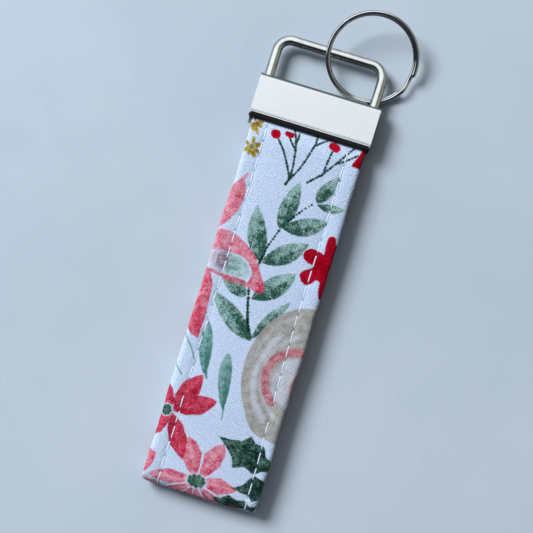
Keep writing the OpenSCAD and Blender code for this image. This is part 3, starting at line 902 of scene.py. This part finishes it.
def make_cover(name, s0, s1):
    s = rows_between(s0, s1)
    points, u, inside = cover_grid(s)
    rows, cols = u.shape
    v = np.repeat(cloth_v(s)[:, None], cols, 1)
    fields, tone = printed(u, v, inside)
    place = np.stack([u + INNER_NAP * inside, v, 0 * u], -1)
    attributes = {"ink_" + k: f.ravel() for k, f in fields.items()}
    attributes["ink_tone"] = tone.ravel()
    # needle: where painted shade goes in the needle holes
    attributes["needle"] = needle_marks(u, v).ravel()
    attributes["cloth_place"] = place.reshape(-1, 3)
    faces = tube_faces(rows, cols)
    return new_object("cover_" + name, points.reshape(-1, 3), faces, cloth, attributes)


def make_core(name, s0, s1):
    """The webbing inside the cover: a slab with rounded edges and closed ends."""
    s = np.linspace(s0 + 0.05, s1 - 0.05, max(4, int(s1 - s0)))
    if name == "fold":
        close = np.linspace(STRAIGHT_L - 1, STRAIGHT_L + ARC_L + 1, 24)
        s = np.unique(np.concatenate([s, close]))
    y, z, ny, nz, thick, _ = path(s)
    half = thick / 2 - CLOTH_T - CORE_GAP
    reach = STRAP_W / 2 - CORE_INSET
    loops = []
    xs = np.linspace(-reach, reach, 15)
    for sign in (1.0, -1.0):
        for x in (xs if sign > 0 else xs[::-1]):
            round_off = 1 - 0.35 * (abs(x) / reach) ** 8
            off = sign * half * round_off
            loops.append(np.stack([x + STRAP_DX + 0 * s, y + ny * off, z + nz * off], -1))
    grid = np.stack(loops, 1)
    return new_object("core_" + name, grid.reshape(-1, 3), capped_faces(grid), webbing)


def stitch_row(name, side, s0, s1):
    """Every stitch of one row that starts on this piece, on both faces of the cloth."""
    verts, faces = [], []
    ring, along = 8, 9
    count = int(LOOP_L / PITCH)
    rng = np.random.default_rng(31 + side)
    jitter = rng.uniform(-0.09, 0.09, (count + 1, 2))
    for i in range(count):
        for outer in (True, False):
            a = FIRST_STITCH + i * PITCH + (0.0 if outer else PITCH / 2)
            # places are measured on the outer cloth; bring them back to the centre line
            if a > STRAIGHT_L:
                a = a - min(a - STRAIGHT_L, OUTER_ARC_L) * (1 - ARC_L / OUTER_ARC_L)
            b = a + STITCH_L
            if not (s0 <= a and b <= s1 + 0.001) or b > LOOP_L - FIRST_STITCH:
                continue
            if not outer and (b > STRAIGHT_L and a < STRAIGHT_L + ARC_L):
                continue
            t = np.linspace(0, 1, along)
            s = a + (b - a) * t
            u = row_u(side, cloth_v(s)) + jitter[i, 0] + (jitter[i, 1] - jitter[i, 0]) * t
            lift = -0.03 + 0.11 * np.sin(math.pi * t) ** 0.6 - 0.28 * (np.abs(2 * t - 1) ** 10)
            centre = face_point(u - STRAP_W / 2, s, outer, lift)
            up = face_point(u - STRAP_W / 2, s, outer, lift + 1.0) - centre
            radius = THREAD_R * (0.55 + 0.45 * np.sin(math.pi * np.clip(t, 0.03, 0.97)) ** 0.4)
            base = len(verts)
            for k in range(along):
                for q in range(ring):
                    angle = 2 * math.pi * q / ring
                    across = np.array([math.cos(angle) * radius[k] * 1.05, 0, 0])
                    verts.append(centre[k] + across + up[k] * math.sin(angle) * radius[k] * 0.8)
            for k in range(along - 1):
                for q in range(ring):
                    r = (q + 1) % ring
                    quad = (base + k * ring + q, base + k * ring + r,
                            base + (k + 1) * ring + r, base + (k + 1) * ring + q)
                    faces.append(quad if outer else quad[::-1])
            faces.append(tuple(base + q for q in range(ring))[::-1])
            faces.append(tuple(base + (along - 1) * ring + q for q in range(ring)))
    side_name = "left" if side < 0 else "right"
    return new_object(f"stitch_{side_name}_{name}", np.array(verts), faces, thread)


PANELS_OF = {  # the panels whose CAD nodes each piece stands for
    "mouth_front": ["front_near"], "front": ["front_near", "front_far"],
    "fold": ["front_far", "back_far"], "back": ["back_far", "back_near"],
    "mouth_back": ["back_near"],
}
for seg, s0, s1, rule in SEGMENTS:
    cover = make_cover(seg, s0, s1)
    core = make_core(seg, s0, s1)
    attach(cover, rule)
    attach(core, rule)
    if seg in PANELS_OF:
        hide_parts(*["cover_" + n for n in PANELS_OF[seg]])
        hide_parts(*["core_" + n for n in PANELS_OF[seg]])
        for side, side_name in ((-1, "left"), (1, "right")):
            row = stitch_row(seg, side, s0, s1)
            attach(row, rule)
            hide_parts(*[f"stitch_{side_name}_{n}" for n in PANELS_OF[seg]])
    if seg == "mouth_back":
        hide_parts("end_cover_back")
        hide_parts("end_core_back")
    if seg == "pinched_front":
        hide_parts("end_cover_front")
        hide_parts("end_core_front")


# ======== split ring
RING_R = 11.35  # middle of the wire
RING_AT = (9.9, 63.7, 4.3)
RING_LEAN = math.radians(17.74)
RING_LEAN_AXIS = Vector((-0.9135, -0.4067, 0))
RING_TURN = math.radians(-22.0)  # brings the wire's step to the right-hand side
TURN_RISE = 0.62  # from one turn of the wire to the next
TURN_H = 0.6
WIRE_W = 1.12
WIRE_END = 347.0  # degrees round the ring, on either side of the step
WIRE_ROWS, WIRE_COLUMNS = 620, 18
STEP_FROM, STEP_L = 10.0, 18.0  # degrees


def make_ring():
    """One domed wire in two turns; it steps up from the lower to the upper turn, and its two
    ends lie open on either side of the step."""
    theta = np.radians(np.linspace(WIRE_END, -WIRE_END, WIRE_ROWS))
    share = smooth((np.radians(STEP_FROM) - theta) / np.radians(STEP_L))
    z = -TURN_RISE / 2 + TURN_RISE * share
    # the upper turn is a little wider than the lower one and does not lie quite on it
    drift = (0.16 + 0.05 * np.sin(theta + 0.8)) * (2 * share - 1)
    radius = RING_R + drift
    ends = np.minimum(np.arange(WIRE_ROWS), np.arange(WIRE_ROWS)[::-1]) / 2.0
    end_scale = np.clip(np.sqrt(np.clip(ends / 1.5, 0.0, 1.0)), 0.35, 1.0)
    verts, crown = [], []
    for k in range(WIRE_COLUMNS):
        a = 2 * math.pi * k / WIRE_COLUMNS
        ca, sa = math.cos(a), math.sin(a)
        # crown: how far this side of the wire faces up or down; the ring's painted shade goes
        # where it is low
        crown.append(abs(sa) * WIRE_W / math.hypot(sa * WIRE_W, ca * TURN_H) + 0 * theta)
        half_w, half_h = WIRE_W / 2 * end_scale, TURN_H / 2 * end_scale
        out = half_w * math.copysign(abs(ca) ** 0.85, ca)
        up = half_h * math.copysign(abs(sa) ** 0.9, sa)
        rr = radius + out
        verts.append(np.stack([rr * np.cos(theta), rr * np.sin(theta), z + up], -1))
    grid = np.stack(verts, 1)
    place = (Matrix.Translation(RING_AT) @ Matrix.Rotation(-RING_LEAN, 4, RING_LEAN_AXIS)
             @ Matrix.Rotation(RING_TURN, 4, "Z"))
    turn = np.array(place.to_3x3())
    points = grid.reshape(-1, 3) @ turn.T + np.array(RING_AT)
    return new_object("split_ring_wire", points, capped_faces(grid), ring_metal,
                      {"crown": np.stack(crown, 1).ravel()})


ring = make_ring()
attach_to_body(ring, "ring")
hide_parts("split_ring")

# ======== hardware keeps its CAD shape
for node, material in (("clamp_shell", clamp_metal), ("wire_bail", wire_metal),
                       ("jaw_liner_front", liner_black), ("jaw_liner_back", liner_black)):
    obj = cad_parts[node]
    obj.data.materials.clear()
    obj.data.materials.append(material)


# ======== floor, light, camera
FLOOR_HALF = 1.5
FLOOR_Z = -0.0003  # just under the soft strap's lowest swell


def make_floor():
    m = Surface("pale_table")
    place = m.place()
    cloud = m.noise(place, 9.0, 4.0, 0.6)
    m.drive("Base Color", m.mix(m.ramp(cloud, 0.3, 0.7), linear(178, 187, 196),
                                linear(186, 194, 203)))
    m.drive("Roughness", 0.7)
    mesh = bpy.data.meshes.new("table")
    r = FLOOR_HALF
    mesh.from_pydata([(-r, -r, 0), (r, -r, 0), (r, r, 0), (-r, r, 0)], [], [(0, 1, 2, 3)])
    floor = bpy.data.objects.new("table", mesh)
    floor.location.z = FLOOR_Z
    bpy.context.scene.collection.objects.link(floor)
    floor.data.materials.append(m.material)


TURN = math.radians(17.15)  # the object leans this much to the right in the picture
IMAGE_RIGHT = Vector((math.cos(TURN), math.sin(TURN), 0))
IMAGE_UP = Vector((-math.sin(TURN), math.cos(TURN), 0))
CAMERA_DISTANCE = 0.38
CAMERA_TILT = math.radians(4.0)
VIEW_WIDTH = 0.1352
SENSOR = 36.0
LOOK_AT = Vector((-0.0002, 0.0046, 0.004))
KEY_DISTANCE, KEY_SIZE, KEY_POWER = 1.8, 0.85, 44.0
DIFFUSE_SHARE = 0.46  # lit surfaces get less of the world's light than metals reflect


def make_camera():
    data = bpy.data.cameras.new("camera")
    data.sensor_width = SENSOR
    data.lens = SENSOR * CAMERA_DISTANCE / VIEW_WIDTH
    data.clip_start = 0.01
    camera = bpy.data.objects.new("camera", data)
    bpy.context.scene.collection.objects.link(camera)
    back = Vector((0, 0, 1)) * math.cos(CAMERA_TILT) - IMAGE_UP * math.sin(CAMERA_TILT)
    back.normalize()
    up = (IMAGE_UP - back * IMAGE_UP.dot(back)).normalized()
    right = up.cross(back)
    rotation = Matrix((right, up, back)).transposed()
    camera.matrix_world = Matrix.Translation(LOOK_AT + back * CAMERA_DISTANCE) @ rotation.to_4x4()
    bpy.context.scene.camera = camera


def make_key_light():
    """One large soft light from the upper left of the picture."""
    data = bpy.data.lights.new("key", "AREA")
    data.shape = "DISK"
    data.size = KEY_SIZE
    data.energy = KEY_POWER
    data.color = (0.93, 1.0, 1.07)
    light = bpy.data.objects.new("key", data)
    bpy.context.scene.collection.objects.link(light)
    d = (IMAGE_UP * 0.75 - IMAGE_RIGHT * 0.75 + Vector((0, 0, 0.95))).normalized()
    light.location = LOOK_AT + d * KEY_DISTANCE
    light.rotation_euler = d.to_track_quat("Z", "Y").to_euler()
    light.visible_glossy = False  # the world gives the metals their reflections


def make_world():
    """Broad window light from the upper left; the side towards the viewer is dark above a
    pale horizon, and a dim wall stands on the right."""
    world = bpy.data.worlds.new("studio")
    bpy.context.scene.world = world
    world.use_nodes = True
    w = Nodes(world.node_tree)
    direction = w.place("Generated")
    height = w.separate(direction)[2]

    def facing(across, up, z):
        """How far a direction turns towards one place in the room."""
        towards = IMAGE_RIGHT * across + IMAGE_UP * up
        dot = w.node("ShaderNodeVectorMath", operation="DOT_PRODUCT")
        w.link(direction, dot.inputs[0])
        dot.inputs[1].default_value = (towards.x, towards.y, z)
        return dot.outputs["Value"]

    window = w.node("ShaderNodeValToRGB")
    w.put(window.inputs["Fac"], w.math("MULTIPLY_ADD", facing(-0.4081, 0.6545, 0.64), 0.5, 0.5))
    stops = window.color_ramp.elements
    stops[0].position, stops[0].color = 0.0, (0.13, 0.14, 0.15, 1)
    stops[1].position, stops[1].color = 1.0, (0.94, 1.0, 1.08, 1)
    for position, colour in ((0.35, (0.02, 0.023, 0.028, 1)), (0.76, (0.02, 0.023, 0.028, 1)),
                             (0.80, (0.74, 0.79, 0.85, 1)), (0.86, (0.76, 0.81, 0.87, 1)),
                             (0.91, (0.88, 0.94, 1.0, 1))):
        stops.new(position).color = colour
    wall = w.ramp(facing(0.84, 0.2, 0.5), 0.5, 0.95)
    horizon = w.ramp(height, 0.2, 0.34, 1.0, 0.0)
    colour = w.mix(wall, window.outputs["Color"], (0.20, 0.205, 0.17), "ADD")
    colour = w.mix(horizon, colour, (0.36, 0.38, 0.40), "ADD")
    diffuse = w.node("ShaderNodeLightPath").outputs["Is Diffuse Ray"]
    share = w.math("MULTIPLY_ADD", diffuse, DIFFUSE_SHARE - 1.0, 1.0)
    background = w.tree.nodes["Background"]
    w.put(background.inputs["Strength"],
          w.times(w.ramp(height, 0.08, 0.5, 0.40, 1.12), share))
    w.put(background.inputs["Color"], colour)


make_floor()
make_camera()
make_world()
make_key_light()

bpy.context.scene.view_settings.view_transform = "Standard"
